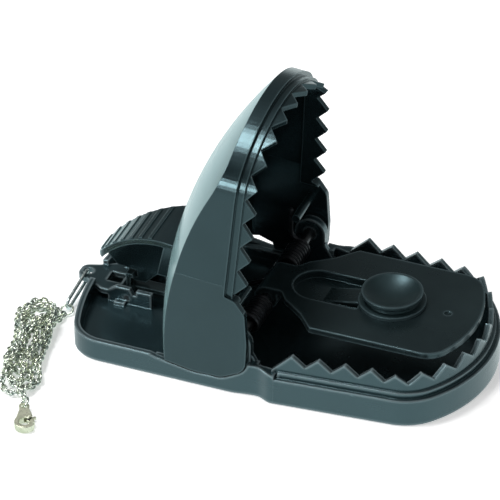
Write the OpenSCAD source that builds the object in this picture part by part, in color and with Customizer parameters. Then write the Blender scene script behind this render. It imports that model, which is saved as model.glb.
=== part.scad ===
// Snap-jaw rat trap with saw teeth, set open, with a chain and clasp on its rear tab.
// Millimetres, +Z up, +X towards the mouth, +Y to the trap's left.
// Origin: the middle of the base's underside. The jaw is drawn open, as it stands when set.

/* [Base] */
// Length of the base along its middle, without the rear tab
base_l = 146.4; // [138:0.2:156]
// Half width of the rear tray
tray_hw = 40; // [39:0.1:41.5]
// Height of the tray's wall
tray_h = 8; // [7:0.1:9]
// Radius of the bowed rear wall
tray_end_r = 100; // [90:1:120]
// Radius of the rear corners
tray_corner_r = 13; // [10:0.5:16]
// Thickness of the outer walls
wall = 2; // [1.6:0.1:2.4]
// Thickness of the floor
floor_t = 2; // [1.6:0.1:2.2]
// Height of the wall inside each cheek
strip_h = 5.6; // [5.2:0.1:5.8]
// Gap between each cheek and the base round it
pocket_gap = 0.5; // [0.4:0.05:0.7]
// Width of the base's waist, as a half width
waist_hw = 38.8; // [38.4:0.1:39.4]
// Height of the shoulder beside the hinge
shoulder_h = 12; // [11.4:0.1:12.2]

/* [Teeth] */
// Half width of the tooth row at the first tooth
row_hw = 37.8; // [37.2:0.1:38.4]
// Narrowing of the half width for each mm forward
taper = 0.09; // [0.08:0.005:0.1]
// Distance from the origin to the first tooth
tooth_x = 14.4; // [14:0.1:15]
// Pitch of the side teeth
pitch = 9.2; // [8.8:0.05:9.5]
// Number of teeth on each side
side_teeth = 5; // [4:1:5]
// Angle between the teeth round the nose
nose_pitch = 11.9; // [11.5:0.1:12.2]
// Radius of the tooth row round the nose
nose_r = 46; // [45:0.5:48]
// Radius of the corner between side and nose
nose_corner_r = 16; // [12:1:20]
// Length of the slope behind the first tooth
first_slope = 7; // [6.6:0.1:7.4]
// Height of the lower teeth's tips
tip_z = 19; // [18.5:0.1:19.5]
// Depth of a tooth
tooth_h = 4; // [3.6:0.1:4.2]
// Thickness of the toothed wall
tooth_t = 1.8; // [1.5:0.1:2.2]
// Gap between the two rows of teeth when shut
mesh_gap = 0.5; // [0.45:0.05:0.7]
// Height of the lower ledge
ledge_low_z = 9.8; // [9.4:0.1:10.2]
// Height of the upper ledge
ledge_high_z = 12; // [11.7:0.1:12.4]
// How far the lower ledge's wall stands out from the teeth
ledge_out = 2.5; // [2.2:0.1:2.8]
// How far the upper ledge's wall stands out from the teeth
rib_out = 1; // [0.8:0.1:1.2]

/* [Jaw] */
// Distance of the hinge behind the origin
hinge_back = 6.5; // [6:0.1:7]
// Height of the hinge
hinge_z = 18.2; // [17.8:0.1:18.6]
// Angle of the jaw when set
open_angle = 85.9; // [80:0.1:88]
// Half width of the jaw's cheeks
cheek_hw = 40; // [39.8:0.1:40.6]
// Thickness of the cheeks and the crown
shell_t = 2.2; // [1.8:0.1:2.4]
// Radius of the crown along the jaw
crown_r = 132; // [126:1:140]
// Radius of the crown across the jaw
crown_cross_r = 86; // [80:1:95]
// Height of the crown over the hinge when shut
crown_h = 34.4; // [33:0.2:36]
// Height of the step over the lower teeth's tips when shut
jaw_step_z = 3.3; // [3:0.1:3.6]
// Height of the jaw's narrow rib
jaw_rib_h = 3; // [2.6:0.1:3.4]

/* [Handle] */
// Radius of the handle's arched top
handle_r = 40.5; // [38:0.5:44]
// Distance of the handle's tip behind the origin
handle_tip_back = 70.6; // [69.6:0.2:72]
// Height of the handle's tip
handle_tip_z = 18.2; // [17.4:0.2:19]
// Half width of the handle where it meets the jaw
handle_hw = 12.4; // [11.5:0.1:13]
// Half width of the handle near its tip
handle_tip_hw = 5.6; // [5:0.1:6.4]
// Number of grip ribs
grip_ribs = 7; // [5:1:8]
// Height of a grip rib
grip_rib_h = 0.4; // [0.4:0.1:0.8]
// Width of a grip rib
grip_rib_w = 1.5; // [1.2:0.1:2]
// Thickness of the handle's walls
handle_t = 2; // [1.6:0.1:2.4]
// Thickness of the web that carries the latch tooth
web_t = 2.4; // [2:0.1:3]

/* [Hinge] */
// Radius of the hinge pin
pin_r = 2; // [1.8:0.1:2.2]
// Running clearance round the hinge pin
pin_gap = 0.08; // [0.05:0.01:0.1]
// Skin left over the ends of the hinge pin
pin_skin = 1; // [0.8:0.1:1.2]
// Radius of the base's hinge ears
ear_r = 5.6; // [5:0.1:6]
// Thickness of the hinge ears
ear_t = 3; // [2.6:0.1:3.4]
// Half length of an ear's foot
ear_foot = 13; // [12:0.5:14]
// Radius of the boss inside each cheek
boss_r = 5; // [4.6:0.1:5.4]

/* [Springs] */
// Wire diameter of the torsion springs
wire_d = 1.6; // [1.4:0.1:1.8]
// Number of turns in each coil
turns = 9; // [7:1:9]
// Clearance between the coil and the hinge pin
coil_gap = 0.5; // [0.4:0.05:0.8]
// Distance from the middle plane to the start of each coil
coil_start = 11; // [10.5:0.1:12]
// Length of the leg that pushes the jaw
push_leg = 16; // [14:0.5:17]
// How far the leg that rests on the floor reaches behind the hinge
floor_leg = 22; // [20:0.5:24]

/* [Pedal] */
// Height of the pedal's top
pedal_z = 22.5; // [22.2:0.1:23]
// Thickness of the pedal's plate
pedal_t = 2.2; // [2:0.1:2.6]
// Half width of the pedal
pedal_hw = 24.4; // [23:0.2:26]
// Start of the pedal's broad part
pedal_rear_x = 15.5; // [14:0.5:17]
// Gap between the pedal's front edge and the toothed wall
pedal_front_gap = 1.3; // [1.2:0.1:2.5]
// Half width of the channel behind the cup
channel_hw = 8.6; // [8:0.1:9.4]
// Depth of the channel behind the cup
channel_d = 3; // [2.5:0.1:3.4]
// Half width of the pedal's hub on the pin
hub_hw = 8; // [7:0.1:9]

/* [Bait cup] */
// Distance of the bait cup in front of the origin
cup_x = 36.6; // [35:0.1:38]
// Radius of the cup's dish
cup_r = 10.6; // [10:0.1:11.2]
// Radius of the cup's flange
flange_r = 11.7; // [11.2:0.1:12.4]
// Thickness of the cup's flange
flange_t = 1.2; // [1:0.1:1.6]
// Height of the cup over the pedal
cup_h = 4.8; // [4.4:0.1:5.4]
// Depth of the dish
dish_d = 2.8; // [2.2:0.1:3]
// Radius of the cup's barrel under the pedal
barrel_r = 9; // [8:0.1:9.4]
// Depth of the barrel under the pedal's top
barrel_d = 5; // [4:0.1:6]
// Clearance round the barrel
barrel_gap = 0.35; // [0.3:0.05:0.5]
// Thickness of the dish's rim
rim_t = 1.2; // [1:0.1:1.4]

/* [Catch] */
// Distance of the catch's pin behind the origin
catch_back = 58.5; // [57.5:0.1:59.5]
// Height of the catch's pin
catch_z = 4.4; // [4.3:0.05:4.6]
// Radius of the catch's pin
catch_pin_r = 1; // [0.9:0.05:1.1]
// Running clearance round the catch's pin
catch_gap = 0.06; // [0.04:0.01:0.1]
// Half width of the catch between its bracket's ears
catch_hw = 6; // [5:0.1:6.4]
// Thickness of the bracket's ears
bracket_t = 1.8; // [1.5:0.1:2.2]
// Gap between the catch and its bracket's ears
bracket_gap = 0.3; // [0.25:0.05:0.4]
// Length of the bracket behind the catch's pin
bracket_back = 7; // [6.8:0.1:7.4]
// Length of the bracket in front of the catch's pin
bracket_front = 9.4; // [9:0.1:10]
// Height of the bracket's lugs over the catch's pin
lug_h = 3.8; // [3.6:0.1:4]
// Depth of the notch between the lugs
notch_d = 2.4; // [2.2:0.1:2.6]
// Radius of the catch's hub
catch_hub_r = 2; // [1.9:0.05:2.1]
// Height of the hook's underside over the catch's pin
hook_h = 5.2; // [5.1:0.05:5.3]
// Thickness of the hook
hook_t = 1.6; // [1.5:0.1:1.8]
// Half width of the hook
hook_hw = 3; // [2.6:0.1:3.4]
// Thickness of the catch's arm
arm_t = 1.4; // [1.3:0.1:1.5]
// Half width of the catch's arm and of the pedal's tail
arm_hw = 2.5; // [2:0.1:3]
// Overlap of the hook over the latch tooth
hook_bite = 0.8; // [0.7:0.05:1]
// Gap between the hook and the latch tooth
hook_gap = 0.4; // [0.35:0.05:0.5]

/* [Tab and chain] */
// Distance of the eyelet behind the origin
eyelet_back = 76.2; // [76:0.1:77]
// Height of the tab's top
tab_z = 6.2; // [6:0.1:6.6]
// Thickness of the tab
tab_t = 2; // [1.8:0.1:2.2]
// Half width of the tab
tab_hw = 5.6; // [5.2:0.1:6.4]
// Radius of the eyelet's hole
eyelet_r = 1.8; // [1.7:0.1:2]
// Width of the rim round the eyelet
eyelet_rim = 1.2; // [1:0.1:1.5]
// Side of the square hole in the tab
hole_w = 5.4; // [5.2:0.1:5.8]
// Wire diameter of the long link
link_d = 1.2; // [1:0.05:1.3]
// Clearance between the long link and the tab
link_gap = 0.3; // [0.2:0.05:0.4]
// Width of the chain
chain_d = 2.4; // [2.2:0.1:2.6]
// Wire diameter of the small rings
ring_wire = 0.8; // [0.7:0.05:0.9]
// Radius of the small rings, to the middle of their wire
ring_r = 2.1; // [1.9:0.05:2.2]

/* [Clasp] */
// Distance from the clasp's eye to the middle of its hook
clasp_reach = 8.6; // [8:0.1:9.5]
// Outer radius of the clasp's hook
clasp_r = 3.6; // [3.4:0.1:4]
// Thickness of the clasp
clasp_t = 2.4; // [2.2:0.1:2.8]
// Width of the hook's stock
clasp_w = 1.5; // [1.3:0.1:1.6]
// Clearance round the clasp's gate
gate_gap = 0.12; // [0.1:0.01:0.16]
// Thickness of the gate
gate_t = 0.8; // [0.7:0.05:0.9]

/* [Hidden] */
$fn = 64;
eps = 0.01;
black = [0.09, 0.1, 0.105];
steel = [0.62, 0.62, 0.6];
silver = [0.72, 0.72, 0.68];
// Routes of the chain's loose stretches and the middle line of its folded heap
lead_route = [[-76.8, -20.2, 1.3], [-76.8, -23, 1.3], [-77.4, -26, 1.3], [-78.2, -29, 1.3]];
tail_route = [[-73.4, -66, 1.3], [-71.8, -68.4, 1.3], [-70.4, -70.4, 1.3], [-69.3, -72, 1.3]];
heap_from = [-84.8, -26];
heap_to = [-75.4, -63.4];
heap_r = 7.9;
heap_h = 7;
link_end = [-76.8, -15.6];
clasp_at = [-67.5, -76, 0.05];
clasp_angle = -64.9;
hinge_x = -hinge_back;
half_l = base_l / 2;
arc_n = 10;
corner_n = 12;
end_n = 18;
reach = 200;

// Points of an arc about c, from angle a to angle b
function arc(c, r, a, b, n = arc_n) = [for (i = [0 : n])
    let (t = a + (b - a) * i / n) c + r * [cos(t), sin(t)]];
function unit(v) = v / norm(v);
function turn(a) = a > 180 ? a - 360 : a < -180 ? a + 360 : a;
// Arc that rounds corner p between its neighbours a and b
function corner(p, a, b, r) =
    let (u = unit(a - p), w = unit(b - p), half = acos(u * w) / 2, c = p + unit(u + w) * r / sin(half),
        s = p + u * r / tan(half) - c, e = p + w * r / tan(half) - c, t = atan2(s[1], s[0]))
    arc(c, r, t, t + turn(atan2(e[1], e[0]) - t), 6);
// Outline whose corners [x, y, radius] are rounded
function rounded(p) = [for (i = [0 : len(p) - 1])
    let (q = [p[i][0], p[i][1]], a = p[(i + len(p) - 1) % len(p)], b = p[(i + 1) % len(p)])
    each (p[i][2] == 0 ? [q] : corner(q, [a[0], a[1]], [b[0], b[1]], p[i][2]))];
// Outline turned about the hinge from shut to set
function opened(p) = [for (q = p) [q[0] * cos(open_angle) - q[1] * sin(open_angle),
    q[0] * sin(open_angle) + q[1] * cos(open_angle)]];
// Outline whose edges are moved outwards by g
function grown(p, g) = [for (i = [0 : len(p) - 1])
    let (d = unit(p[i] - p[(i + len(p) - 1) % len(p)]), e = unit(p[(i + 1) % len(p)] - p[i]),
        n = [-d[1], d[0]], m = unit(n + [-e[1], e[0]]))
    p[i] + m * g / (m * n)];
// The same for corners [x, y, radius] that are rounded afterwards
function grown_corners(c, g) = let (p = grown([for (q = c) [q[0], q[1]]], g))
    [for (i = [0 : len(c) - 1]) [p[i][0], p[i][1], c[i][2] == 0 ? 0 : c[i][2] + g]];
function mirrored(p) = [for (i = [len(p) - 1 : -1 : 0]) [p[i][0], -p[i][1]]];
// Half of a plan that starts at x0, runs along a tapering side and ends in a broad arc
function half_plan(x0, w0, slope, x_end, end_r, corner_r, out) =
    let (a = atan(slope), cx = x_end - end_r, d = w0 * cos(a) - corner_r,
        t = cx * cos(a) + sqrt(pow(end_r - corner_r, 2) - pow(d - cx * sin(a), 2)),
        c = [d * sin(a) + t * cos(a), d * cos(a) - t * sin(a)], p = atan2(c[1], c[0] - cx))
    concat([[x0, w0 - slope * x0 + out / cos(a)]], arc(c, corner_r + out, 90 - a, p, corner_n),
        [for (i = [1 : end_n]) arc([cx, 0], end_r + out, p, 0, end_n)[i]]);
function full_plan(h) = concat(h, mirrored([for (q = h) if (q[1] > eps) q]));

// Places that follow from the sizes above
front_end = half_l - ledge_out;
nose_cx = front_end - nose_r;
row_w0 = row_hw + taper * tooth_x;
valley_z = tip_z - tooth_h;
step_z = tip_z + jaw_step_z;
rib_z = step_z - jaw_rib_h + mesh_gap;
jaw_tip_z = valley_z + mesh_gap;
row_back = tooth_x - pitch / 2;
row_from = tooth_x - first_slope;
cheek_in = cheek_hw - shell_t;
pocket_in = cheek_in - 1;
pocket_back = -34;
ear_out = pocket_in;
shoulder_x = 8;
waist_x = 2;
waist_back = -8;
catch_x = -catch_back;
hook_tip_x = catch_x + 0.35 * catch_hub_r;
hook_z = catch_z + hook_h;
tooth_top_z = hook_z - hook_gap;
tooth_end_x = hook_tip_x - hook_bite;
eyelet_x = -eyelet_back;
coil_mean = pin_r + coil_gap + wire_d / 2;
coil_l = turns * wire_d * 0.96;
leg_y = coil_start + coil_l - wire_d / 2;
leg_lift = 0.2;
peg_r = 1.5;
peg_x = hinge_x - coil_mean + wire_d / 2 + peg_r + 0.1;
peg_z = hinge_z + push_leg - 3;
tail_end_x = catch_x + 14.5;
tail_z = catch_z - 0.1;
tail_t = 1.7;
tail_gap = 0.5;
tail_bend_x = hinge_x - 6;
tail_root = 3;
pedal_waist = [[9.5, 17.5, 5], [2, 12, 3]];
channel_from = 1;
collar_t = 1.6;
under_t = 1.4;
tongue_x = 13;
tongue_hw = channel_hw / 2;
dimple_at = [56.5, 0.6];
dimple_r = 1.3;
dimple_d = 0.5;
bracket_foot = [4, 2, 1.2];
tab_front = catch_x - catch_hub_r - 1.4;
tab_corner_r = 2;
tab_bar = 0.9;
front_r = nose_r - tooth_t - pedal_front_gap;
channel_end_x = cup_x - barrel_r - 1;
crown_x = hinge_x + 1.5;
handle_angle = 36.1;
handle_c = [-handle_tip_back + handle_r * cos(handle_angle), handle_tip_z - handle_r * sin(handle_angle)];
handle_root_x = -40;
handle_nose_r = 9;
web_root = [handle_root_x + 0.2, hinge_z + 2.8];
web_knee = [handle_root_x - 6, hinge_z - 2.2];
web_tip = [6 - handle_tip_back, hook_z + 2 * hook_t];
latch_l = 4.6;
latch_t = 1.6;
latch_neck = 1.4;
// Outlines [x, z] of a flange at the handle's root and of the notch under the left cheek
root_flange = [[-38.4, 33.6], [-42.4, 33.6], [-45.2, 20.6], [-39.4, 20.6]];
cheek_notch = [[-31.5, 0], [-31.5, 8.4], [-27, 9.4], [-22, 7.6], [-20, 0]];
// Outline [x, z, radius] of the jaw's panel and cheek, from the hinge, with the jaw shut
panel_z = step_z - hinge_z;
panel_corners = [[95, panel_z, 0], [20.5, panel_z, 0.5], [19.5, 0.2, 1.5], [15, -3.6, 4], [3, -5.2, 6],
    [-8, -5.4, 5.5], [-13.2, 3, 6], [-14, 13, 10], [-12.6, 27, 6], [-9.6, 36, 0], [-9.6, 70, 0], [95, 70, 0]];
handle_wide_back = 42;
handle_slope = (handle_hw - handle_tip_hw) / (handle_tip_back - handle_wide_back);

// Places and small sizes of the clasp, along +X from its eye
clasp_neck = [1, 1.5];
clasp_bend = [clasp_reach - 2.2, clasp_r - 0.7];
hook_c = [clasp_reach, 0];
hook_to = 62;
gate_to = 50;
gate_from = 140;
gate_inset = 0.3;
thumb = [2.6, 0.9];
gate_at = hook_c + (clasp_r - clasp_w / 2) * [cos(gate_from + 10), sin(gate_from + 10)];
gate_eye_r = 0.95;
rivet_r = 0.35;
rivet_gap = 0.05;
rivet_fit = 0.02;
slot_room = 0.7;
spring_wire = 0.25;
slot_h = gate_t + 2 * spring_wire + 3 * gate_gap;
slot_z = (clasp_t - slot_h) / 2;
eye_r = 1.1;
eye_rim = 0.7;
eye_t = 0.9;
eye_z = clasp_t - eye_t / 2;
eye_tilt = asin((eye_z + clasp_at[2] - ring_wire / 2 - 0.03) / ring_r);

// Cylinder across the trap, along Y
module across(r, y0, y1) {
    translate([0, y0, 0]) rotate([-90, 0, 0]) cylinder(r = r, h = y1 - y0);
}

// Side view outline [x, z] made solid from y0 to y1
module side(points, y0, y1) {
    translate([0, y1, 0]) rotate([90, 0, 0]) linear_extrude(y1 - y0) polygon(points);
}

// Both halves of a shape that stands on the left side
module both() {
    children();
    mirror([0, 1, 0]) children();
}

// Round rod between two points of the plane y = 0
module rod(a, b, d) {
    translate([a[0], 0, a[1]]) rotate([0, atan2(b[0] - a[0], b[1] - a[1]), 0])
        cylinder(d = d, h = norm(b - a));
}

// Plan of the toothed row, grown outwards
module row_plan(out, from) {
    polygon(full_plan(half_plan(from, row_w0, taper, front_end, nose_r, nose_corner_r, out)));
}

// Plan of the rear tray, grown outwards
module tray_plan(out, to) {
    mirror([1, 0]) polygon(full_plan(half_plan(-to, tray_hw, 0, half_l, tray_end_r, tray_corner_r, out)));
}

// Smooth change of half width from [x, y] a to b
function ease(a, b) = [for (i = [0 : 8]) [a[0] + (b[0] - a[0]) * i / 8,
    a[1] + (b[1] - a[1]) * (1 - cos(180 * i / 8)) / 2]];

module waist_plan() {
    front = [shoulder_x + 1, row_w0 + ledge_out - taper * shoulder_x];
    half = concat([[waist_back - 1, tray_hw]], ease([waist_back, tray_hw], [waist_x, waist_hw]),
        ease([waist_x + eps, waist_hw], [shoulder_x, front[1]]), [front]);
    polygon(concat(half, mirrored(half)));
}

// Wedge that cuts one valley, its edge at the origin and open upwards
module valley(w, l) {
    rotate([90, 0, 0]) linear_extrude(l, center = true)
        polygon([[0, 0], [w * 0.75, tooth_h * 1.5], [-w * 0.75, tooth_h * 1.5]]);
}

// All the valleys of a row: side ones from index a, round ones offset by half a pitch or not
module valleys(side_x, n, round_angles) {
    for (i = [0 : n - 1]) translate([side_x + i * pitch, 0, 0]) valley(pitch, 2 * tray_hw + 10);
    for (a = round_angles) translate([nose_cx, 0, 0]) rotate(a) translate([nose_r, 0, 0]) rotate(90)
        valley(2 * nose_r * sin(nose_pitch / 2), 16);
}

module base_body() {
    linear_extrude(tray_h) tray_plan(0, waist_back);
    linear_extrude(ledge_low_z) row_plan(ledge_out, shoulder_x);
    linear_extrude(ledge_high_z) row_plan(rib_out, row_back);
    difference() {
        linear_extrude(tip_z) row_plan(0, row_from);
        side([[row_from - 1, ledge_high_z], [row_from, ledge_high_z], [tooth_x, tip_z], [tooth_x, tip_z + 1],
            [row_from - 1, tip_z + 1]], -2 * tray_hw, 2 * tray_hw);
    }
    intersection() {
        linear_extrude(shoulder_h) waist_plan();
        side([[waist_back - 1, 0], [waist_back - 1, tray_h], [waist_x - 3, shoulder_h],
            [waist_x + 1, shoulder_h], [row_back, ledge_high_z - wall / 2], [row_back, 0]],
            -2 * tray_hw, 2 * tray_hw);
    }
}

module base_hollow() {
    translate([0, 0, floor_t]) {
        linear_extrude(reach) tray_plan(-wall, pocket_back - wall);
        linear_extrude(reach) row_plan(-tooth_t, waist_x);
        translate([pocket_back - wall - 1, -pocket_in + wall, 0])
            cube([waist_x - pocket_back + wall + 2, 2 * (pocket_in - wall), reach]);
    }
}

// Pocket in the side of the base that a cheek turns in
module cheek_pocket() {
    translate([pocket_back - wall, pocket_in - wall - 1, strip_h])
        cube([waist_x - 4 - pocket_back, wall + 2, reach]);
    translate([hinge_x, 0, hinge_z])
        side(opened(rounded(grown_corners(panel_corners, pocket_gap))), pocket_in, pocket_in + reach);
}

module hinge_ear() {
    difference() {
        union() {
            translate([hinge_x, 0, hinge_z]) across(ear_r, ear_out - ear_t, ear_out);
            translate([hinge_x - ear_r, ear_out - ear_t, floor_t - eps])
                cube([2 * ear_r, ear_t, hinge_z - floor_t]);
            for (s = [-1, 1]) side([[hinge_x, floor_t - eps], [hinge_x + s * ear_foot, floor_t - eps],
                [hinge_x + s * ear_r, hinge_z - 2 * pin_r], [hinge_x, hinge_z - 2 * pin_r]],
                ear_out - ear_t, ear_out - ear_t + wall);
        }
        translate([hinge_x, 0, hinge_z]) across(pin_r + pin_gap, ear_out - ear_t - 1, ear_out + 1);
    }
}

// One ear of the catch's bracket, with the notch between its two lugs
module bracket_ear() {
    y0 = catch_hw + bracket_gap;
    low = floor_t - eps;
    lug_z = catch_z + lug_h;
    front = catch_x + bracket_front;
    difference() {
        side([[catch_x - bracket_back, low], [catch_x - bracket_back, tab_z - eps],
            [catch_x - 2 * catch_hub_r, lug_z], [catch_x + notch_d / 2, lug_z],
            [catch_x + notch_d, lug_z - notch_d], [catch_x + 1.5 * notch_d, lug_z - notch_d],
            [catch_x + 1.5 * notch_d, lug_z - 0.1 * lug_h], [front, lug_z - 0.1 * lug_h], [front, low]],
            y0, y0 + bracket_t);
        translate([catch_x, 0, catch_z]) across(catch_pin_r + catch_gap, y0 - 1, y0 + bracket_t + 1);
    }
    translate([catch_x - bracket_foot[0], y0 + bracket_t - eps, low]) cube(bracket_foot);
}

// Tab across the tray's rear wall, with its square hole and eyelet
module tab() {
    inner_hw = catch_hw + bracket_gap + bracket_t;
    rim = eyelet_r + eyelet_rim;
    wall_x = -half_l + 2.5 * wall;
    neck_x = -half_l - 0.2 * wall;
    half = [[tab_front, inner_hw, 0], [wall_x, inner_hw, tab_corner_r], [neck_x, tab_hw - 0.6, tab_corner_r],
        [eyelet_x - rim, rim, rim - 0.1]];
    difference() {
        translate([0, 0, tab_z - tab_t]) linear_extrude(tab_t) polygon(rounded(concat(half,
            [for (i = [len(half) - 1 : -1 : 0]) [half[i][0], -half[i][1], half[i][2]]])));
        translate([eyelet_x, 0, 0]) cylinder(r = eyelet_r, h = reach);
        translate([tab_front - tab_bar - hole_w, -hole_w / 2, 0]) cube([hole_w, hole_w, reach]);
    }
}

module base() {
    color(black) {
        difference() {
            base_body();
            base_hollow();
            both() cheek_pocket();
            translate([0, 0, valley_z]) valleys(row_back, side_teeth, [for (i = [-4 : 4]) i * nose_pitch]);
            translate([-half_l - 1, -tab_hw, tab_z - eps]) cube([wall + 4, 2 * tab_hw, tray_h]);
        }
        both() hinge_ear();
        both() bracket_ear();
        tab();
    }
}

// The jaw's outer and inner form, a barrel round an axis far below the hinge
module crown(t) {
    translate([crown_x, 0, hinge_z + crown_h - crown_r]) rotate([90, 0, 0])
        rotate_extrude($fn = 180) intersection() {
            translate([crown_r - crown_cross_r, 0]) circle(r = crown_cross_r - t, $fn = 180);
            translate([crown_r / 2, -tray_hw - 5]) square([crown_r, 2 * tray_hw + 10]);
        }
}

// Plan of the jaw's smooth outside: straight cheeks, then the tapering row
module panel_plan(out) {
    bend_x = (row_w0 + ledge_out - cheek_hw) / taper;
    row_plan(ledge_out + out, bend_x);
    translate([-60, -cheek_hw - out]) square([60 + bend_x + 0.5, 2 * (cheek_hw + out)]);
}

// Everything inside the side outline of the panel and cheeks, with the jaw shut
module panel_side(hw) {
    translate([hinge_x, 0, hinge_z]) side(rounded(panel_corners), -hw, hw);
}

module shut_jaw() {
    difference() {
        union() {
            intersection() {
                linear_extrude(90) panel_plan(0);
                crown(0);
                panel_side(cheek_hw + 5);
            }
            translate([0, 0, rib_z]) linear_extrude(step_z - rib_z + 1) row_plan(rib_out, row_back + 3);
            translate([0, 0, jaw_tip_z]) linear_extrude(step_z - jaw_tip_z) row_plan(0, tooth_x);
        }
        intersection() {
            translate([0, 0, step_z + 2]) linear_extrude(90) panel_plan(-shell_t);
            crown(shell_t);
        }
        translate([0, 0, -eps]) linear_extrude(step_z + 2 + 2 * eps) row_plan(-tooth_t, row_back + 2);
        linear_extrude(step_z + 2 + eps) intersection() {
            panel_plan(-shell_t);
            translate([row_back + 2 - reach, -reach]) square([reach, 2 * reach]);
        }
        translate([0, 0, tip_z + mesh_gap]) mirror([0, 0, 1])
            valleys(tooth_x, side_teeth, [for (i = [-4 : 3]) (i + 0.5) * nose_pitch]);
    }
}

// Arc of the handle's top in side view, t inside it, from its tip to angle b
function handle_top(t, a, b) = arc(handle_c, handle_r - t, a, b, 16);
function reversed(p) = [for (i = [len(p) - 1 : -1 : 0]) p[i]];

// Plan of the handle, narrowing towards its tip
module handle_plan(out) {
    hw = handle_hw + handle_wide_back * handle_slope;
    linear_extrude(reach) mirror([1, 0]) polygon(full_plan(half_plan(handle_wide_back - 6, hw, handle_slope,
        handle_tip_back + 0.4, handle_nose_r, handle_nose_r / 2 - 0.5, out)));
}

module handle() {
    tip = 180 - handle_angle;
    root = 90.5;
    intersection() {
        side(concat(handle_top(0, tip, root), reversed(handle_top(handle_t, tip - 1.5, root))),
            -tray_hw / 2, tray_hw / 2);
        handle_plan(0);
    }
    intersection() {
        for (i = [0 : grip_ribs - 1]) translate([handle_c[0], 0, handle_c[1]])
            rotate([0, -(51 - i * 42 / grip_ribs), 0])
            translate([-grip_rib_w / 2, -tray_hw / 2, handle_r - 1])
            cube([grip_rib_w, tray_hw, 1 + grip_rib_h]);
        handle_plan(-0.5);
    }
    side(concat(handle_top(1, tip - 0.8, root + 1), [web_root, web_knee,
        [tooth_end_x + latch_l, tooth_top_z - latch_t], [tooth_end_x, tooth_top_z - latch_t],
        [tooth_end_x, tooth_top_z], [tooth_end_x + latch_neck, tooth_top_z],
        [tooth_end_x + latch_neck, hook_z + 2.2], web_tip]), -web_t / 2, web_t / 2);
    both() side(root_flange, handle_hw - handle_t, handle_hw - 0.2);
}

module jaw() {
    color(black) {
        difference() {
            union() {
                translate([hinge_x, 0, hinge_z]) rotate([0, -open_angle, 0])
                    translate([-hinge_x, 0, -hinge_z]) shut_jaw();
                both() translate([hinge_x, 0, hinge_z]) across(boss_r, pocket_in + 0.3, cheek_in + eps);
                both() translate([peg_x, 0, peg_z]) across(peg_r, leg_y - wire_d, cheek_in + eps);
            }
            both() translate([hinge_x, 0, hinge_z]) across(pin_r + pin_gap, 0, cheek_hw - pin_skin);
            side(cheek_notch, cheek_in - 1, cheek_hw + 1);
        }
        handle();
    }
}

module hinge_pin() {
    l = cheek_hw - pin_skin - 0.3;
    color(steel) translate([hinge_x, 0, hinge_z]) across(pin_r, -l, l);
}

// Closely wound torsion spring on the left side, with its two legs
module spring() {
    color(steel) {
        translate([hinge_x, coil_start, hinge_z]) rotate([-90, 0, 0]) rotate_extrude()
            for (i = [0 : turns - 1]) translate([coil_mean, wire_d * (0.5 + i * 0.96)]) circle(d = wire_d);
        translate([0, leg_y, 0])
            rod([hinge_x - coil_mean, hinge_z], [hinge_x - coil_mean, hinge_z + push_leg], wire_d);
        translate([0, coil_start + wire_d / 2, 0])
            rod([hinge_x, hinge_z - coil_mean], [hinge_x - floor_leg, floor_t + wire_d / 2 + leg_lift],
                wire_d);
    }
}

module spring_left() {
    spring();
}

module spring_right() {
    mirror([0, 1, 0]) spring();
}

// Plan of the pedal, its rear part narrowing to the hub
module pedal_plan() {
    polygon(full_plan(half_plan(pedal_rear_x, pedal_hw, 0, nose_cx + front_r, front_r, 9, 0)));
    rear = rounded(concat([[pedal_rear_x + 4, pedal_hw, 0], [pedal_rear_x, pedal_hw, 2.5]], pedal_waist,
        [[-1, hub_hw, 2], [hinge_x, hub_hw, 0], [hinge_x, 0, 0], [pedal_rear_x + 4, 0, 0]]));
    polygon(rear);
    mirror([0, 1]) polygon(rear);
}

// Round-ended channel behind the cup
module channel_plan(out) {
    translate([channel_from + channel_hw, 0]) circle(r = channel_hw + out);
    translate([channel_from + channel_hw, -channel_hw - out])
        square([channel_end_x - channel_from - channel_hw + out, 2 * (channel_hw + out)]);
}

module pedal() {
    floor_z = pedal_z - channel_d;
    color(black) difference() {
        union() {
            translate([0, 0, pedal_z - pedal_t]) linear_extrude(pedal_t) pedal_plan();
            translate([0, 0, floor_z - under_t]) {
                linear_extrude(channel_d + under_t - eps) channel_plan(collar_t);
                translate([cup_x, 0, 0])
                    cylinder(r = barrel_r + barrel_gap + collar_t, h = channel_d + under_t - eps);
            }
            translate([hinge_x, 0, hinge_z]) across(pedal_z - hinge_z - eps, -hub_hw, hub_hw);
            side([[hinge_x + tail_root, hinge_z - pin_r], [tail_bend_x, tail_z - tail_t],
                [tail_end_x, tail_z - tail_t], [tail_end_x, tail_z], [tail_bend_x - 1.1, tail_z],
                [hinge_x - tail_root, hinge_z - pin_r]], -arm_hw, arm_hw);
        }
        difference() {
            translate([0, 0, floor_z]) linear_extrude(channel_d + 1) channel_plan(0);
            side([[tongue_x, floor_z - 1], [tongue_x, floor_z], [channel_end_x - 1.5, pedal_z - 0.4],
                [channel_end_x + 1, pedal_z - 0.4], [channel_end_x + 1, floor_z - 1]], -tongue_hw, tongue_hw);
        }
        translate([cup_x, 0, 0]) cylinder(r = barrel_r + barrel_gap, h = reach);
        translate([hinge_x, 0, hinge_z]) across(pin_r + pin_gap, -hub_hw - 1, hub_hw + 1);
        translate([dimple_at[0], dimple_at[1], pedal_z - dimple_d]) cylinder(r = dimple_r, h = 2 * dimple_d);
    }
}

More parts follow.
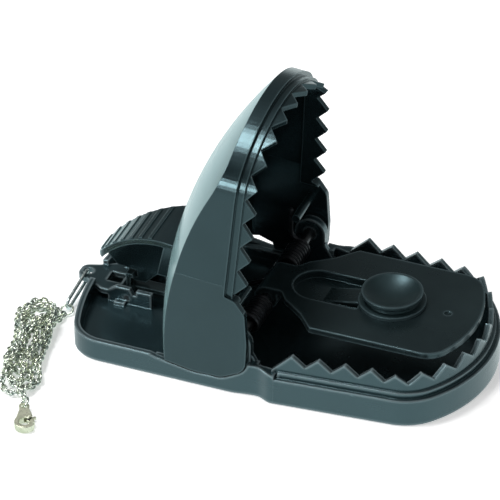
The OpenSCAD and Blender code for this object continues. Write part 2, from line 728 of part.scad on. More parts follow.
module bait_cup() {
    top = pedal_z + cup_h;
    dish_r = cup_r - 1;
    dish = (pow(dish_r, 2) + pow(dish_d, 2)) / (2 * dish_d);
    color(black) translate([cup_x, 0, 0]) difference() {
        rotate_extrude() polygon([[0, pedal_z - barrel_d], [barrel_r, pedal_z - barrel_d],
            [barrel_r, pedal_z], [flange_r, pedal_z], [flange_r, pedal_z + flange_t],
            [cup_r - rim_t, pedal_z + 1.25 * flange_t],
            [cup_r - rim_t - 0.2, pedal_z + 2 * flange_t], [cup_r, top - rim_t], [cup_r, top], [0, top]]);
        translate([0, 0, top - dish_d + dish]) sphere(r = dish, $fn = 96);
    }
}

// The catch: a hub, a hooked post over the latch tooth and an arm that the pedal's tail lifts
module catch() {
    post_x = catch_x - catch_hub_r / 4;
    arm_z = tail_z + tail_gap;
    arm_end_x = tail_end_x + 1.5;
    color(black) difference() {
        union() {
            translate([catch_x, 0, catch_z]) across(catch_hub_r, -catch_hw, catch_hw);
            side([[catch_x - catch_hub_r, catch_z], [catch_x - catch_hub_r - 0.3, hook_z + hook_t],
                [hook_tip_x - 0.4, hook_z + hook_t - 0.2], [hook_tip_x, hook_z], [post_x, hook_z],
                [post_x, catch_z + catch_hub_r], [catch_x + catch_hub_r / 2, catch_z]], -hook_hw, hook_hw);
            side([[catch_x, arm_z], [arm_end_x, arm_z], [arm_end_x, arm_z + arm_t], [catch_x, arm_z + arm_t]],
                -arm_hw, arm_hw);
        }
        translate([catch_x, 0, catch_z]) across(catch_pin_r + catch_gap, -catch_hw - 1, catch_hw + 1);
    }
}

module catch_pin() {
    l = catch_hw + bracket_gap + bracket_t;
    color(steel) translate([catch_x, 0, catch_z]) across(catch_pin_r, -l, l);
}

// Ring of round wire in the plane z = 0
module wire_ring(r, d) {
    rotate_extrude() translate([r, 0]) circle(d = d, $fn = 24);
}

// Half a ring of round wire on the side +X
module half_ring(r, d) {
    rotate_extrude(angle = 180) translate([r, 0]) circle(d = d, $fn = 24);
}

// Closed tube of round section along a route
function side_of(t) = unit([t[1], -t[0], 0]);
function tube_ring(p, t, d) = [for (i = [0 : 7])
    p + d / 2 * (cos(i * 45) * side_of(t) + sin(i * 45) * [0, 0, 1])];

module tube(route, d) {
    n = len(route);
    points = [for (i = [0 : n - 1])
        each tube_ring(route[i], route[min(i + 1, n - 1)] - route[max(i - 1, 0)], d)];
    walls = [for (i = [0 : n - 2], k = [0 : 7]) [i * 8 + k, i * 8 + (k + 1) % 8, (i + 1) * 8 + (k + 1) % 8,
        (i + 1) * 8 + k]];
    ends = [[for (k = [7 : -1 : 0]) k], [for (k = [0 : 7]) (n - 1) * 8 + k]];
    polyhedron(points, concat(walls, ends));
}

// Long link that hangs in the eyelet and rests on the ground at its far end
module chain_shackle() {
    r = tab_t / 2 + link_gap + link_d / 2;
    start = [eyelet_x, -eyelet_r - link_gap, tab_z - tab_t / 2 + 0.1];
    end = [link_end[0], link_end[1], r + link_d / 2];
    l = norm(end - start);
    drop = asin((start[2] - end[2]) / l);
    yaw = atan2(end[0] - start[0], start[1] - end[1]);
    color(silver) translate(start) rotate([drop, 0, yaw]) rotate([0, 0, -90]) rotate([90, 0, 0]) {
        for (s = [-1, 1]) translate([0, s * r, 0]) rotate([0, 90, 0]) cylinder(d = link_d, h = l, $fn = 24);
        rotate(90) half_ring(r, link_d);
        translate([l, 0, 0]) rotate(-90) half_ring(r, link_d);
    }
}

// Small ring through the long link's end
module chain_ring() {
    near = [link_end[1] - 0.2, link_d + ring_wire / 2 + 0.2];
    fall = asin((near[1] - ring_wire / 2) / (2 * ring_r));
    color(silver) translate([link_end[0], near[0], near[1]]) rotate([fall, 0, 0]) translate([0, -ring_r, 0])
        wire_ring(ring_r, ring_wire);
}

module chain_lead() {
    color(silver) tube(lead_route, chain_d);
}

module chain_hank() {
    v = heap_to - heap_from;
    color(silver) translate([heap_from[0], heap_from[1], 0]) rotate(atan2(v[1], v[0]))
        linear_extrude(heap_h) {
        circle(r = heap_r);
        translate([0, -heap_r]) square([norm(v), 2 * heap_r]);
        translate([norm(v), 0]) circle(r = heap_r);
    }
}

module chain_tail() {
    color(silver) tube(tail_route, chain_d);
}

// Puts what is drawn along +X from the clasp's eye in its place on the ground
module clasp_place() {
    translate(clasp_at) rotate(clasp_angle) children();
}

module clasp_ring() {
    color(silver) clasp_place() translate([-ring_r, 0, eye_z]) rotate([eye_tilt, 0, 0])
        wire_ring(ring_r, ring_wire);
}

// Part of a disc about the hook's middle, from angle a to angle b
module sector(r, a, b) {
    polygon(concat([hook_c], arc(hook_c, r, a, b)));
}

module clasp_plan() {
    difference() {
        union() {
            polygon([clasp_neck, [clasp_neck[0], -clasp_neck[1]], [clasp_bend[0], -clasp_bend[1]],
                clasp_bend]);
            translate(hook_c) circle(r = clasp_r);
        }
        translate(hook_c) circle(r = clasp_r - clasp_w);
        sector(2 * clasp_r, gate_from, hook_to);
    }
}

module clasp_body() {
    color(silver) clasp_place() difference() {
        union() {
            linear_extrude(clasp_t) clasp_plan();
            translate([0, 0, clasp_t - eye_t]) cylinder(r = eye_r + eye_rim, h = eye_t);
        }
        translate([0, 0, -eps]) cylinder(r = eye_r, h = clasp_t + 2 * eps);
        translate([0, 0, -eps]) cylinder(r = eye_r + eye_rim + 0.2, h = clasp_t - eye_t + eps);
        translate([gate_at[0], gate_at[1], slot_z]) cylinder(r = gate_eye_r + slot_room, h = slot_h);
        translate([gate_at[0], gate_at[1], -eps]) cylinder(r = rivet_r + rivet_fit, h = clasp_t + 2 * eps);
    }
}

// Curved lever that closes the hook from inside, with its thumb nub
module gate_plan(from) {
    r_in = clasp_r - clasp_w - gate_gap;
    polygon(concat(arc(hook_c, clasp_r - gate_inset, from, hook_to + 26, 6),
        [hook_c + r_in * [cos(hook_to + 6), sin(hook_to + 6)]], arc(hook_c, r_in, hook_to - 2, gate_to, 2),
        [for (i = [0 : 8]) let (a = gate_to + (from - gate_to) * i / 8, r = r_in - gate_t + i / 8)
            hook_c + r * [cos(a), sin(a)]]));
}

module clasp_gate() {
    color(silver) clasp_place() difference() {
        union() {
            translate([0, 0, slot_z + gate_gap]) linear_extrude(gate_t) {
                translate(gate_at) circle(r = gate_eye_r);
                gate_plan(gate_from + 2);
                translate(gate_at) rotate(gate_from - 25) translate([0, -thumb[1] / 2]) square(thumb);
            }
            translate([0, 0, gate_inset]) linear_extrude(clasp_t - 2 * gate_inset) gate_plan(gate_from - 18);
        }
        translate(gate_at) cylinder(r = rivet_r + rivet_gap, h = clasp_t);
    }
}

module clasp_rivet() {
    color(silver) clasp_place() translate(gate_at) cylinder(r = rivet_r, h = clasp_t);
}

// Tiny closely wound spring beside the gate's eye
module clasp_spring() {
    low = slot_z + slot_h - gate_gap - 2 * spring_wire;
    color(silver) clasp_place() translate([gate_at[0], gate_at[1], low]) rotate_extrude()
        for (i = [0 : 1])
            translate([rivet_r + gate_gap + spring_wire / 2, spring_wire * (0.5 + 0.96 * i)])
                circle(d = spring_wire, $fn = 16);
}

base();
jaw();
hinge_pin();
spring_left();
spring_right();
pedal();
bait_cup();
catch();
catch_pin();
chain_shackle();
chain_ring();
chain_lead();
chain_hank();
chain_tail();
clasp_ring();
clasp_body();
clasp_gate();
clasp_rivet();
clasp_spring();
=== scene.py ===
"""Looks of a plastic snap-jaw rat trap, set open, with its chain and clasp."""
import math

import bpy
import numpy as np
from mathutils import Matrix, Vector


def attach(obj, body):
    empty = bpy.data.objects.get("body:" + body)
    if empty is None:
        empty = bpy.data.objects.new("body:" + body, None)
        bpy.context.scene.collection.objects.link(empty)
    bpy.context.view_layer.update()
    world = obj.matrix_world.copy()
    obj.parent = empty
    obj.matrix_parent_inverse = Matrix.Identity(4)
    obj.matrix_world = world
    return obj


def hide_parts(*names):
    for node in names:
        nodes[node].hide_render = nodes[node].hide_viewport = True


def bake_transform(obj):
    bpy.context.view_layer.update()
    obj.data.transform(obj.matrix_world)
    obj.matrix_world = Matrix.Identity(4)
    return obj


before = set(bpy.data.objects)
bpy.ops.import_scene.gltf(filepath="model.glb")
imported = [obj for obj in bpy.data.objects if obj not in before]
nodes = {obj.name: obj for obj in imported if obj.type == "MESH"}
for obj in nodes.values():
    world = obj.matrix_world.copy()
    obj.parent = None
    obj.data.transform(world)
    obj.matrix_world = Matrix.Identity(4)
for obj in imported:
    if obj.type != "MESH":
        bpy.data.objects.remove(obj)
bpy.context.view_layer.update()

scene = bpy.context.scene
MM = 0.001

# Camera, fitted to the photograph
YAW = math.radians(21.61)
RISE = math.radians(35.01)
DISTANCE = 1.71492
TARGET = Vector((-0.01555, 0.0, 0.03058))
LENS_MM = 360.03
SENSOR_MM = 36.0
towards_camera = Vector((math.sin(YAW) * math.cos(RISE), -math.cos(YAW) * math.cos(RISE), math.sin(RISE)))
lens = bpy.data.cameras.new("camera")
lens.lens = LENS_MM
lens.sensor_width = SENSOR_MM
camera = bpy.data.objects.new("camera", lens)
camera.location = TARGET + DISTANCE * towards_camera
camera.rotation_euler = (math.radians(90) - RISE, 0, YAW)
scene.collection.objects.link(camera)
scene.camera = camera


# Mesh helpers
def add_object(name, verts, faces, smooth=True):
    """New mesh object from points in metres."""
    mesh = bpy.data.meshes.new(name)
    mesh.from_pydata([tuple(v) for v in verts], [], [tuple(f) for f in faces])
    mesh.polygons.foreach_set("use_smooth", [smooth] * len(mesh.polygons))
    mesh.update()
    obj = bpy.data.objects.new(name, mesh)
    scene.collection.objects.link(obj)
    return obj


def frames_along(points):
    """Tangents and two side directions that turn as little as they can along a line of points."""
    tang = np.gradient(points, axis=0)
    tang /= np.linalg.norm(tang, axis=1)[:, None]
    side = np.cross(tang[0], (0, 0, 1))
    sides = []
    for t in tang:
        side = side - t * side.dot(t)
        side = side / np.linalg.norm(side)
        sides.append(side)
    sides = np.array(sides)
    return tang, sides, np.cross(sides, tang)


def tube_mesh(points, radius, around):
    """Vertices and faces of a closed round tube along a line of points."""
    points = np.asarray(points, float)
    _, a, b = frames_along(points)
    turn = np.linspace(0, 2 * np.pi, around, endpoint=False)
    rings = points[:, None] + radius * (np.cos(turn)[None, :, None] * a[:, None] +
                                        np.sin(turn)[None, :, None] * b[:, None])
    n = len(points)
    verts = rings.reshape(-1, 3)
    faces = [[i * around + j, i * around + (j + 1) % around, (i + 1) * around + (j + 1) % around,
              (i + 1) * around + j] for i in range(n - 1) for j in range(around)]
    faces.append(list(range(around))[::-1])
    faces.append([(n - 1) * around + j for j in range(around)])
    return verts, faces


def resample(points, step):
    """The same line with points one step apart."""
    points = np.asarray(points, float)
    run = np.r_[0, np.cumsum(np.linalg.norm(np.diff(points, axis=0), axis=1))]
    count = max(2, int(round(run[-1] / step)) + 1)
    at = np.linspace(0, run[-1], count)
    return np.stack([np.interp(at, run, points[:, k]) for k in range(points.shape[1])], axis=1)


def soften(values, sigma):
    """Gaussian smoothing of rows of numbers, with the ends held."""
    reach = int(4 * sigma)
    weights = np.exp(-0.5 * (np.arange(-reach, reach + 1) / sigma) ** 2)
    weights /= weights.sum()
    out = np.empty_like(values)
    for k in range(values.shape[1]):
        lead = 2 * values[0, k] - values[reach:0:-1, k]
        tail = 2 * values[-1, k] - values[-2:-reach - 2:-1, k]
        out[:, k] = np.convolve(np.r_[lead, values[:, k], tail], weights, "valid")
    return out


def ease(t):
    """Smooth rise from 0 to 1 as t does, held beyond both ends."""
    return 0.5 - 0.5 * math.cos(math.pi * min(1, max(0, t)))


# Chain, in millimetres: one line from the ring at the shackle, through the folded heap, to the clasp's ring
CHAIN_D = 2.4
HEAP_A = np.array((-84.8, -26.0))
HEAP_B = np.array((-75.4, -63.4))
LEAD = [(-76.8, -20.2, 1.3), (-76.8, -23.0, 1.3), (-77.4, -26.0, 1.3), (-78.2, -29.0, 1.3)]
TAIL = [(-73.4, -66.0, 1.3), (-71.8, -68.4, 1.3), (-70.4, -70.4, 1.3), (-69.3, -72.0, 1.3)]
# Each fold: place along the heap, sideways middle, and the lane of the run that follows
FOLDS = [(24.7, -0.6, -5.4), (-1.9, -1.4, 1.6), (27.3, -0.9, -1.5), (10.0, 1.1, 6.3), (31.9, -0.2, 4.3),
         (-3.0, 1.6, -1.3), (35.8, 1.8, 2.6), (2.2, 1.8, -3.5), (39.1, 0.0, -1.6), (3.3, 1.5, 6.3)]
FOLD_R = 5.4
FOLD_POINTS = 13
FIRST_LANE = 6.2
# Points of the run that leads to a fold, and the shares of its length where they start and stop
RUN_POINTS = 12
RUN_FROM = 0.12
RUN_TO = 0.94
LAST_RUN_TO = 0.9
# Share of a run by which it is in its lane, and share from which it swings out to the fold
IN_LANE_BY = 0.45
OUT_OF_LANE_FROM = 0.6
# Small waves across a run: their height, and their angle over its whole length in radians
WAVE = 0.35
WAVE_RATE = 9


def heap_line():
    """The chain's middle line in plan."""
    along = (HEAP_B - HEAP_A) / np.linalg.norm(HEAP_B - HEAP_A)
    across = np.array((-along[1], along[0]))

    def local(p):
        """Place of a point along the heap and across it, without its height."""
        offset = np.array(p[:2]) - HEAP_A
        return float(offset @ along), float(offset @ across)

    pts = [local(p) for p in LEAD]
    lane = FIRST_LANE
    way = 1
    for at, mid, after in FOLDS:
        start = pts[-1]
        enter = (at, mid + way * FOLD_R)
        for t in np.linspace(RUN_FROM, RUN_TO, RUN_POINTS):
            x = start[0] + (enter[0] - start[0]) * t
            y = start[1] + (lane - start[1]) * ease(t / IN_LANE_BY)
            y += (enter[1] - lane) * ease((t - OUT_OF_LANE_FROM) / (1 - OUT_OF_LANE_FROM))
            pts.append((x, y + WAVE * math.sin(t * WAVE_RATE + at)))
        for a in np.linspace(0, math.pi, FOLD_POINTS):
            pts.append((at + way * FOLD_R * math.sin(a), mid + way * FOLD_R * math.cos(a)))
        lane = after
        way = -way
    start = pts[-1]
    goal = local(TAIL[0])
    for t in np.linspace(RUN_FROM, LAST_RUN_TO, RUN_POINTS):
        pts.append((start[0] + (goal[0] - start[0]) * t, start[1] + (goal[1] - start[1]) * ease(t)))
    pts += [local(p) for p in TAIL]
    return np.array([HEAP_A + a * along + b * across for a, b in pts])


# Step between points while the heights are found, and smoothing of the plan and the heights in points
SETTLE_STEP = 0.5
PLAN_SOFT = 2.2
HEIGHT_SOFT = 4.0
# Length of chain, just before each place, that the place doesn't rest on
OWN_RUN = 9
# Distance, as a share of the chain's width, at which two stretches touch
TOUCH = 0.8
# Length of chain to each side that a high place lifts with it
HIGH_REACH = 1.5


def settle(plan):
    """Heights along the line: each later stretch rests on what it crosses."""
    line = resample(plan, SETTLE_STEP)
    line = resample(soften(line, PLAN_SOFT), SETTLE_STEP)
    count = len(line)
    z = np.full(count, CHAIN_D / 2)
    gap = int(OWN_RUN / SETTLE_STEP)
    touch_squared = (TOUCH * CHAIN_D) ** 2
    for i in range(gap, count):
        apart_squared = ((line[:i - gap + 1] - line[i]) ** 2).sum(axis=1)
        near = apart_squared < touch_squared
        if near.any():
            rest = z[:i - gap + 1][near] + np.sqrt(touch_squared - apart_squared[near])
            z[i] = max(z[i], float(rest.max()))
    reach = int(HIGH_REACH / SETTLE_STEP)
    high = np.array([z[max(0, i - reach):i + reach + 1].max() for i in range(count)])
    high = soften(high[:, None], HEIGHT_SOFT)[:, 0]
    return np.column_stack([line, np.maximum(high, CHAIN_D / 2)])


# Step between the points of a finished line, and the chain's last smoothing in points
LINE_STEP = 0.4
LINE_SOFT = 1.5
line = settle(heap_line())
line = resample(soften(line, LINE_SOFT), LINE_STEP)

# Distance from link to link along the line, and a link's length, width and wire
LINK_PITCH = 1.7
LINK_LENGTH = 3.2
LINK_WIDTH = 2.5
LINK_WIRE = 0.76
# Points round a link's loop and round its wire
LINK_STEPS = 18
LINK_AROUND = 7
# Random turn of each link about the line and tilt along it, in degrees
LINK_SEED = 7
LINK_ROLL = 14
LINK_LEAN = 7


def chain_links(line):
    """Vertices and faces of interlocked oval links along a line, each about a quarter turn from the last."""
    run = np.r_[0, np.cumsum(np.linalg.norm(np.diff(line, axis=0), axis=1))]
    count = int(round(run[-1] / LINK_PITCH))
    places = (np.arange(count) + 0.5) * run[-1] / count
    tangents, a, b = frames_along(line)
    rng = np.random.default_rng(LINK_SEED)
    flat_half = (LINK_LENGTH - LINK_WIDTH) / 2
    bend = (LINK_WIDTH - LINK_WIRE) / 2
    loop = []
    for m in range(LINK_STEPS):
        angle = 2 * math.pi * (m + 0.5) / LINK_STEPS
        x = bend * math.cos(angle) + (flat_half if math.cos(angle) > 0 else -flat_half)
        loop.append((x, bend * math.sin(angle), math.cos(angle), math.sin(angle)))
    verts = []
    faces = []
    for k, place in enumerate(places):
        middle = np.array([np.interp(place, run, line[:, j]) for j in range(3)])
        i = int(np.searchsorted(run, place).clip(0, len(run) - 1))
        roll = math.radians(45 + 90 * (k % 2) + rng.uniform(-LINK_ROLL, LINK_ROLL))
        lean = math.radians(rng.uniform(-LINK_LEAN, LINK_LEAN))
        side = a[i] * math.cos(roll) + b[i] * math.sin(roll)
        up = np.cross(tangents[i], side)
        along = tangents[i] * math.cos(lean) + up * math.sin(lean)
        up = np.cross(along, side)
        start = len(verts)
        for x, y, out_x, out_y in loop:
            centre = middle + along * x + side * y
            out = along * out_x + side * out_y
            for w in range(LINK_AROUND):
                angle = 2 * math.pi * w / LINK_AROUND
                verts.append(centre + LINK_WIRE / 2 * (out * math.cos(angle) + up * math.sin(angle)))
        for m in range(LINK_STEPS):
            here = start + m * LINK_AROUND
            there = start + (m + 1) % LINK_STEPS * LINK_AROUND
            for w in range(LINK_AROUND):
                beside = (w + 1) % LINK_AROUND
                faces.append((here + w, here + beside, there + beside, there + w))
    return np.array(verts), faces


verts, faces = chain_links(line)
chain = add_object("chain", verts * MM, faces)
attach(chain, "base")
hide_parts("chain_lead", "chain_hank", "chain_tail")

# Torsion springs, in millimetres: a rear leg to the floor, a close coil round the pin, a push leg to the jaw
COIL_X = -6.5
COIL_Z = 18.2
COIL_R = 3.3
COIL_TURNS = 7
COIL_STEPS = 28
# Angle at which the rear leg meets the coil, and the one at which the push leg leaves it
COIL_FROM = -62.4
COIL_TO = 90
# Distance of the coil's near end from the trap's middle, and the coil's width
COIL_INNER = 11.8
COIL_WIDTH = 12.2
# Each leg's points: forward and up
REAR_LEG = [(-28.4, 3.1), (-20.0, 7.5)]
PUSH_LEG = [(-7.6, 21.7), (-8.7, 22.4), (-9.5, 23.6), (-9.8, 25.2), (-9.8, 34.0)]
# Smoothing in points of the line, the wire's radius and the points round it
SPRING_SOFT = 0.9
SPRING_WIRE_R = 0.8
SPRING_AROUND = 12


def spring_line(side):
    """Middle line of one torsion spring in millimetres."""
    first = math.radians(COIL_FROM)
    last = math.radians(COIL_TO + 360 * COIL_TURNS)
    pts = [(x, COIL_INNER, z) for x, z in REAR_LEG]
    count = COIL_TURNS * COIL_STEPS
    for i in range(count + 1):
        t = i / count
        angle = first + (last - first) * t
        x = COIL_X + COIL_R * math.cos(angle)
        z = COIL_Z + COIL_R * math.sin(angle)
        pts.append((x, COIL_INNER + COIL_WIDTH * t, z))
    pts += [(x, COIL_INNER + COIL_WIDTH, z) for x, z in PUSH_LEG]
    pts = resample(np.array(pts), LINE_STEP)
    return soften(pts, SPRING_SOFT) * (1, side, 1)


springs = []
for name, side in (("spring_left", 1), ("spring_right", -1)):
    verts, faces = tube_mesh(spring_line(side) * MM, SPRING_WIRE_R * MM, SPRING_AROUND)
    coil = add_object(name + "_coil", verts, faces)
    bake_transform(coil)
    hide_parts(name)
    springs.append(coil)


# Materials
def new_material(name):
    """Empty material with a Principled shader."""
    mat = bpy.data.materials.new(name)
    mat.use_nodes = True
    tree = mat.node_tree
    tree.nodes.clear()
    out = tree.nodes.new("ShaderNodeOutputMaterial")
    bsdf = tree.nodes.new("ShaderNodeBsdfPrincipled")
    tree.links.new(bsdf.outputs[0], out.inputs["Surface"])
    return mat, tree, bsdf


def noise(tree, scale, detail, rough=0.5, stretch=None):
    """Noise texture in the object's own coordinates."""
    coord = tree.nodes.new("ShaderNodeTexCoord")
    tex = tree.nodes.new("ShaderNodeTexNoise")
    tex.inputs["Scale"].default_value = scale
    tex.inputs["Detail"].default_value = detail
    tex.inputs["Roughness"].default_value = rough
    if stretch:
        mapping = tree.nodes.new("ShaderNodeMapping")
        mapping.inputs["Scale"].default_value = stretch
        tree.links.new(coord.outputs["Object"], mapping.inputs["Vector"])
        tree.links.new(mapping.outputs[0], tex.inputs["Vector"])
    else:
        tree.links.new(coord.outputs["Object"], tex.inputs["Vector"])
    return tex.outputs["Fac"]


def ramp(tree, value, stops):
    """Colour ramp from (place, colour) stops."""
    node = tree.nodes.new("ShaderNodeValToRGB")
    el = node.color_ramp.elements
    while len(el) < len(stops):
        el.new(0.5)
    for e, (at, col) in zip(el, stops):
        e.position = at
        e.color = (*col, 1)
    tree.links.new(value, node.inputs["Fac"])
    return node.outputs["Color"]


def spread(tree, value, lo, hi, start=0.3, stop=0.7):
    """Value mapped from start..stop to lo..hi."""
    node = tree.nodes.new("ShaderNodeMapRange")
    node.inputs["From Min"].default_value = start
    node.inputs["From Max"].default_value = stop
    node.inputs["To Min"].default_value = lo
    node.inputs["To Max"].default_value = hi
    tree.links.new(value, node.inputs["Value"])
    return node.outputs["Result"]


def combine(tree, operation, a, b):
    """One value worked out from two."""
    node = tree.nodes.new("ShaderNodeMath")
    node.operation = operation
    tree.links.new(a, node.inputs[0])
    tree.links.new(b, node.inputs[1])
    return node.outputs[0]


# Samples of the nodes that round an edge and that find one
BEVEL_SAMPLES = 6
EDGE_SAMPLES = 12


def bump(tree, heights, edge):
    """Normal from stacked height textures (value, strength, distance), over edges rounded to a radius."""
    rounded = tree.nodes.new("ShaderNodeBevel")
    rounded.samples = BEVEL_SAMPLES
    rounded.inputs["Radius"].default_value = edge
    normal = rounded.outputs[0]
    for value, strength, distance in heights:
        node = tree.nodes.new("ShaderNodeBump")
        node.inputs["Strength"].default_value = strength
        node.inputs["Distance"].default_value = distance
        tree.links.new(value, node.inputs["Height"])
        tree.links.new(normal, node.inputs["Normal"])
        normal = node.outputs[0]
    return normal


def painted_edge_highlight(tree, reach):
    """Mask of a painted highlight on outer edges: 1 on them, falling to 0 at a reach from them."""
    inner = tree.nodes.new("ShaderNodeAmbientOcclusion")
    inner.inside = True
    inner.only_local = True
    inner.samples = EDGE_SAMPLES
    inner.inputs["Distance"].default_value = reach
    return spread(tree, inner.outputs["AO"], lo=1, hi=0, start=0.5, stop=0.95)


def mix_colour(tree, fac, low, high):
    """Colour between two, the second of them plain."""
    node = tree.nodes.new("ShaderNodeMix")
    node.data_type = "RGBA"
    tree.links.new(fac, node.inputs["Factor"])
    tree.links.new(low, node.inputs["A"])
    node.inputs["B"].default_value = (*high, 1)
    return node.outputs["Result"]


def painted_rear_sheen(tree):
    """Mask of a painted reflection: a pale sheen on what faces the trap's rear, where the view grazes it."""
    coord = tree.nodes.new("ShaderNodeTexCoord")
    split = tree.nodes.new("ShaderNodeSeparateXYZ")
    tree.links.new(coord.outputs["Normal"], split.inputs[0])
    graze = tree.nodes.new("ShaderNodeLayerWeight")
    graze.inputs["Blend"].default_value = 0.5
    rearward = spread(tree, split.outputs["X"], lo=1, hi=0, start=-0.8, stop=-0.4)
    grazing = spread(tree, graze.outputs["Facing"], lo=0, hi=1, start=0.45, stop=0.85)
    return combine(tree, "MULTIPLY", rearward, grazing)


def plastic(name, dark, light, rough=(0.16, 0.3), edge=0.00035, ior=1.58, edge_highlight=(0.05, 0.075, 0.082),
            rear_sheen=None):
    """Glossy moulded plastic: mottled gloss, fine grain, flow streaks, faint scuffs, a painted highlight on
    outer edges and, where given, a painted reflection on rear-facing surfaces at grazing view.
    """
    mat, tree, bsdf = new_material(name)
    broad = noise(tree, scale=55, detail=4)
    streak = noise(tree, scale=40, detail=5, rough=0.6, stretch=(1, 1, 6))
    fine = noise(tree, scale=2600, detail=2)
    scuff = noise(tree, scale=220, detail=6, rough=0.7, stretch=(8, 1, 2))
    body = ramp(tree, broad, [(0.3, dark), (0.7, light)])
    # Painted reflection: rear-facing surfaces lightened where the view grazes them.
    if rear_sheen:
        body = mix_colour(tree, painted_rear_sheen(tree), body, rear_sheen)
    # Painted highlight: outer edges lightened to a pale colour that stands in for glints.
    tree.links.new(mix_colour(tree, painted_edge_highlight(tree, 2 * edge), body, edge_highlight), bsdf.inputs["Base Color"])
    tree.links.new(spread(tree, streak, lo=rough[0], hi=rough[1]), bsdf.inputs["Roughness"])
    heights = [(broad, 0.12, 0.0006), (fine, 0.25, 0.00003), (scuff, 0.05, 0.0001)]
    tree.links.new(bump(tree, heights, edge), bsdf.inputs["Normal"])
    bsdf.inputs["IOR"].default_value = ior
    bsdf.inputs["Specular Tint"].default_value = (0.58, 0.91, 1.0, 1)
    return mat


def steel(name, dark, light, rough=(0.22, 0.4), stretch=(1, 1, 1), edge=0.0001, metallic=1.0):
    """Drawn or plated metal: tarnish in patches, fine draw lines."""
    mat, tree, bsdf = new_material(name)
    patch = noise(tree, scale=260, detail=5, rough=0.6)
    lines = noise(tree, scale=900, detail=4, rough=0.6, stretch=stretch)
    tree.links.new(ramp(tree, patch, [(0.3, dark), (0.62, light)]), bsdf.inputs["Base Color"])
    tree.links.new(spread(tree, lines, lo=rough[0], hi=rough[1]), bsdf.inputs["Roughness"])
    heights = [(lines, 0.15, 0.00002), (patch, 0.1, 0.00005)]
    tree.links.new(bump(tree, heights, edge), bsdf.inputs["Normal"])
    bsdf.inputs["Metallic"].default_value = metallic
    return mat


def dress(obj, mat):
    """Puts one material on every slot of an object."""
    if not obj.material_slots:
        obj.data.materials.append(mat)
    for s in obj.material_slots:
        s.material = mat


# The pale edge colours given below are painted highlights on outer edges, not the plastic's own colour.
base_mat = plastic("base_plastic", dark=(0.006, 0.012, 0.014), light=(0.01, 0.02, 0.023), edge=0.0006,
                   ior=1.92, edge_highlight=(0.13, 0.165, 0.175))
# The jaw's pale rear colour is a painted reflection on its rear-facing surfaces.
jaw_mat = plastic("jaw_plastic", dark=(0.004, 0.008, 0.009), light=(0.007, 0.014, 0.016), rough=(0.13, 0.25),
                  ior=1.69, edge_highlight=(0.035, 0.055, 0.06), rear_sheen=(0.17, 0.28, 0.29))
pedal_mat = plastic("pedal_plastic", dark=(0.005, 0.009, 0.01), light=(0.009, 0.015, 0.016),
                    rough=(0.2, 0.36), edge=0.0005, ior=1.65)
cup_mat = plastic("cup_plastic", dark=(0.007, 0.014, 0.015), light=(0.012, 0.022, 0.024),
                  rough=(0.3, 0.44), edge=0.0005)
catch_mat = plastic("catch_plastic", dark=(0.007, 0.012, 0.013), light=(0.012, 0.02, 0.021),
                    rough=(0.2, 0.34))
pin_mat = steel("pin_steel", dark=(0.06, 0.064, 0.068), light=(0.14, 0.145, 0.15), stretch=(1, 12, 1))
spring_mat = steel("spring_steel", dark=(0.022, 0.024, 0.027), light=(0.06, 0.064, 0.07), rough=(0.34, 0.5))
link_mat = steel("link_metal", dark=(0.4, 0.48, 0.48), light=(0.72, 0.8, 0.78), rough=(0.2, 0.36))
chain_mat = steel("chain_metal", dark=(0.3, 0.36, 0.33), light=(0.86, 0.9, 0.76), rough=(0.14, 0.32))
clasp_mat = steel("clasp_metal", dark=(0.52, 0.56, 0.4), light=(0.88, 0.9, 0.7), rough=(0.24, 0.4),
                  edge=0.0006, metallic=0.76)

for node, mat in (("base", base_mat), ("jaw", jaw_mat), ("pedal", pedal_mat), ("bait_cup", cup_mat),
                  ("catch", catch_mat), ("hinge_pin", pin_mat), ("catch_pin", pin_mat),
                  ("chain_shackle", link_mat), ("chain_ring", chain_mat), ("clasp_ring", chain_mat),
                  ("clasp_body", clasp_mat), ("clasp_gate", clasp_mat), ("clasp_rivet", clasp_mat),
                  ("clasp_spring", spring_mat)):
    dress(nodes[node], mat)
for coil in springs:
    dress(coil, spring_mat)
dress(chain, chain_mat)

# Floor: a wide disc just under the trap, in metres
FLOOR_RADIUS = 3.0
FLOOR_Z = -0.0004
FLOOR_SIDES = 48
turns = np.linspace(0, 2 * math.pi, FLOOR_SIDES, endpoint=False)
rim = [(FLOOR_RADIUS * math.cos(a), FLOOR_RADIUS * math.sin(a), FLOOR_Z) for a in turns]
floor = add_object("floor", rim, [list(range(FLOOR_SIDES))], smooth=False)


def surface_of(data):
    """Cleared node tree of a material or world, its output and its light path."""
    data.use_nodes = True
    tree = data.node_tree
    tree.nodes.clear()
    kind = "ShaderNodeOutputWorld" if isinstance(data, bpy.types.World) else "ShaderNodeOutputMaterial"
    return tree, tree.nodes.new(kind).inputs["Surface"], tree.nodes.new("ShaderNodeLightPath")


def glow(tree, strength, kind="ShaderNodeEmission", tint=(1, 1, 1)):
    """Even light of a given strength."""
    node = tree.nodes.new(kind)
    node.inputs["Color"].default_value = (*tint, 1)
    node.inputs["Strength"].default_value = strength
    return node


def in_reflection(tree, light_path):
    """1 for what is seen in a mirror or through glass."""
    outputs = light_path.outputs
    return combine(tree, "MAXIMUM", outputs["Is Glossy Ray"], outputs["Is Transmission Ray"])


def choose(tree, fac, low, high, target_socket):
    """Mixes two shaders into a socket."""
    node = tree.nodes.new("ShaderNodeMixShader")
    tree.links.new(fac, node.inputs[0])
    tree.links.new(low, node.inputs[1])
    tree.links.new(high, node.inputs[2])
    tree.links.new(node.outputs[0], target_socket)


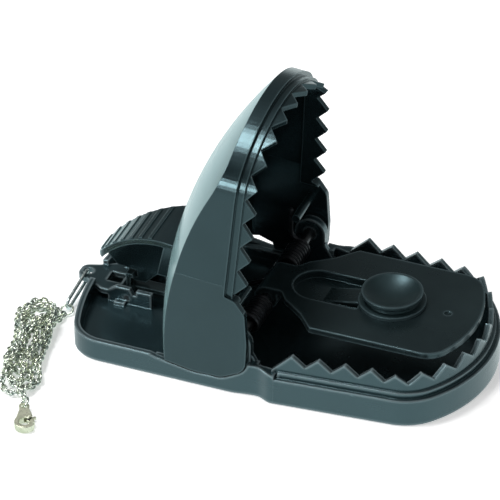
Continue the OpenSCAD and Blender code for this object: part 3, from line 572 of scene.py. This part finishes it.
def floor_material():
    """Matt white with the trap's shadow, lifted a little to the camera, and an even glow in reflections."""
    mat = bpy.data.materials.new("floor_white")
    tree, surface, light_path = surface_of(mat)
    matte = tree.nodes.new("ShaderNodeBsdfDiffuse")
    matte.inputs["Color"].default_value = (0.9, 0.9, 0.9, 1)
    lift = glow(tree, 0.0)
    part = tree.nodes.new("ShaderNodeMath")
    part.operation = "MULTIPLY"
    part.inputs[1].default_value = 0.3
    tree.links.new(light_path.outputs["Is Camera Ray"], part.inputs[0])
    tree.links.new(part.outputs[0], lift.inputs["Strength"])
    both = tree.nodes.new("ShaderNodeAddShader")
    tree.links.new(matte.outputs[0], both.inputs[0])
    tree.links.new(lift.outputs[0], both.inputs[1])
    mirrored = glow(tree, 1.0, tint=(0.9, 1, 1))
    choose(tree, in_reflection(tree, light_path), both.outputs[0], mirrored.outputs[0], surface)
    return mat


floor.data.materials.append(floor_material())

# Wall that reflections see: pale at the horizon, dark above it and paler again overhead
WALL = [(0.0, (0.55, 0.62, 0.63)),
        (0.05, (0.3, 0.34, 0.35)),
        (0.16, (0.16, 0.18, 0.18)),
        (0.4, (0.13, 0.14, 0.14)),
        (0.75, (0.12, 0.12, 0.12)),
        (0.95, (0.4, 0.4, 0.4))]
# Strength of the even fill, and of the white that the camera sees
FILL = 0.5
BACKDROP = 1.0


def studio():
    """World: an even white fill, plain white to the camera, and the wall in reflections."""
    world = bpy.data.worlds.new("studio")
    tree, surface, light_path = surface_of(world)
    coord = tree.nodes.new("ShaderNodeTexCoord")
    split = tree.nodes.new("ShaderNodeSeparateXYZ")
    tree.links.new(coord.outputs["Generated"], split.inputs[0])
    wall = tree.nodes.new("ShaderNodeBackground")
    tree.links.new(ramp(tree, split.outputs["Z"], WALL), wall.inputs["Color"])
    plain = tree.nodes.new("ShaderNodeMixShader")
    choose(tree, in_reflection(tree, light_path), plain.outputs[0], wall.outputs[0], surface)
    tree.links.new(light_path.outputs["Is Camera Ray"], plain.inputs[0])
    tree.links.new(glow(tree, FILL, "ShaderNodeBackground").outputs[0], plain.inputs[1])
    tree.links.new(glow(tree, BACKDROP, "ShaderNodeBackground").outputs[0], plain.inputs[2])
    return world


scene.world = studio()

# Lamps
right = Vector((math.cos(YAW), math.sin(YAW), 0))
ahead = Vector((-math.sin(YAW), math.cos(YAW), 0))


def soft_box(name, across, forward, up, size, power):
    """Square lamp that faces the trap, placed from it along the view's own directions."""
    lamp = bpy.data.lights.new(name, "AREA")
    lamp.shape = "SQUARE"
    lamp.size = size
    lamp.energy = power
    obj = bpy.data.objects.new(name, lamp)
    obj.location = TARGET + right * across + ahead * forward + Vector((0, 0, up))
    obj.rotation_euler = (TARGET - obj.location).to_track_quat("-Z", "Y").to_euler()
    scene.collection.objects.link(obj)


soft_box("key", across=-0.85, forward=-0.1, up=0.75, size=0.35, power=5.0)
soft_box("top", across=-0.33, forward=0.06, up=1.05, size=0.3, power=6.0)
soft_box("front", across=-0.67, forward=-0.8, up=0.35, size=0.2, power=2.7)

scene.view_settings.view_transform = "Standard"
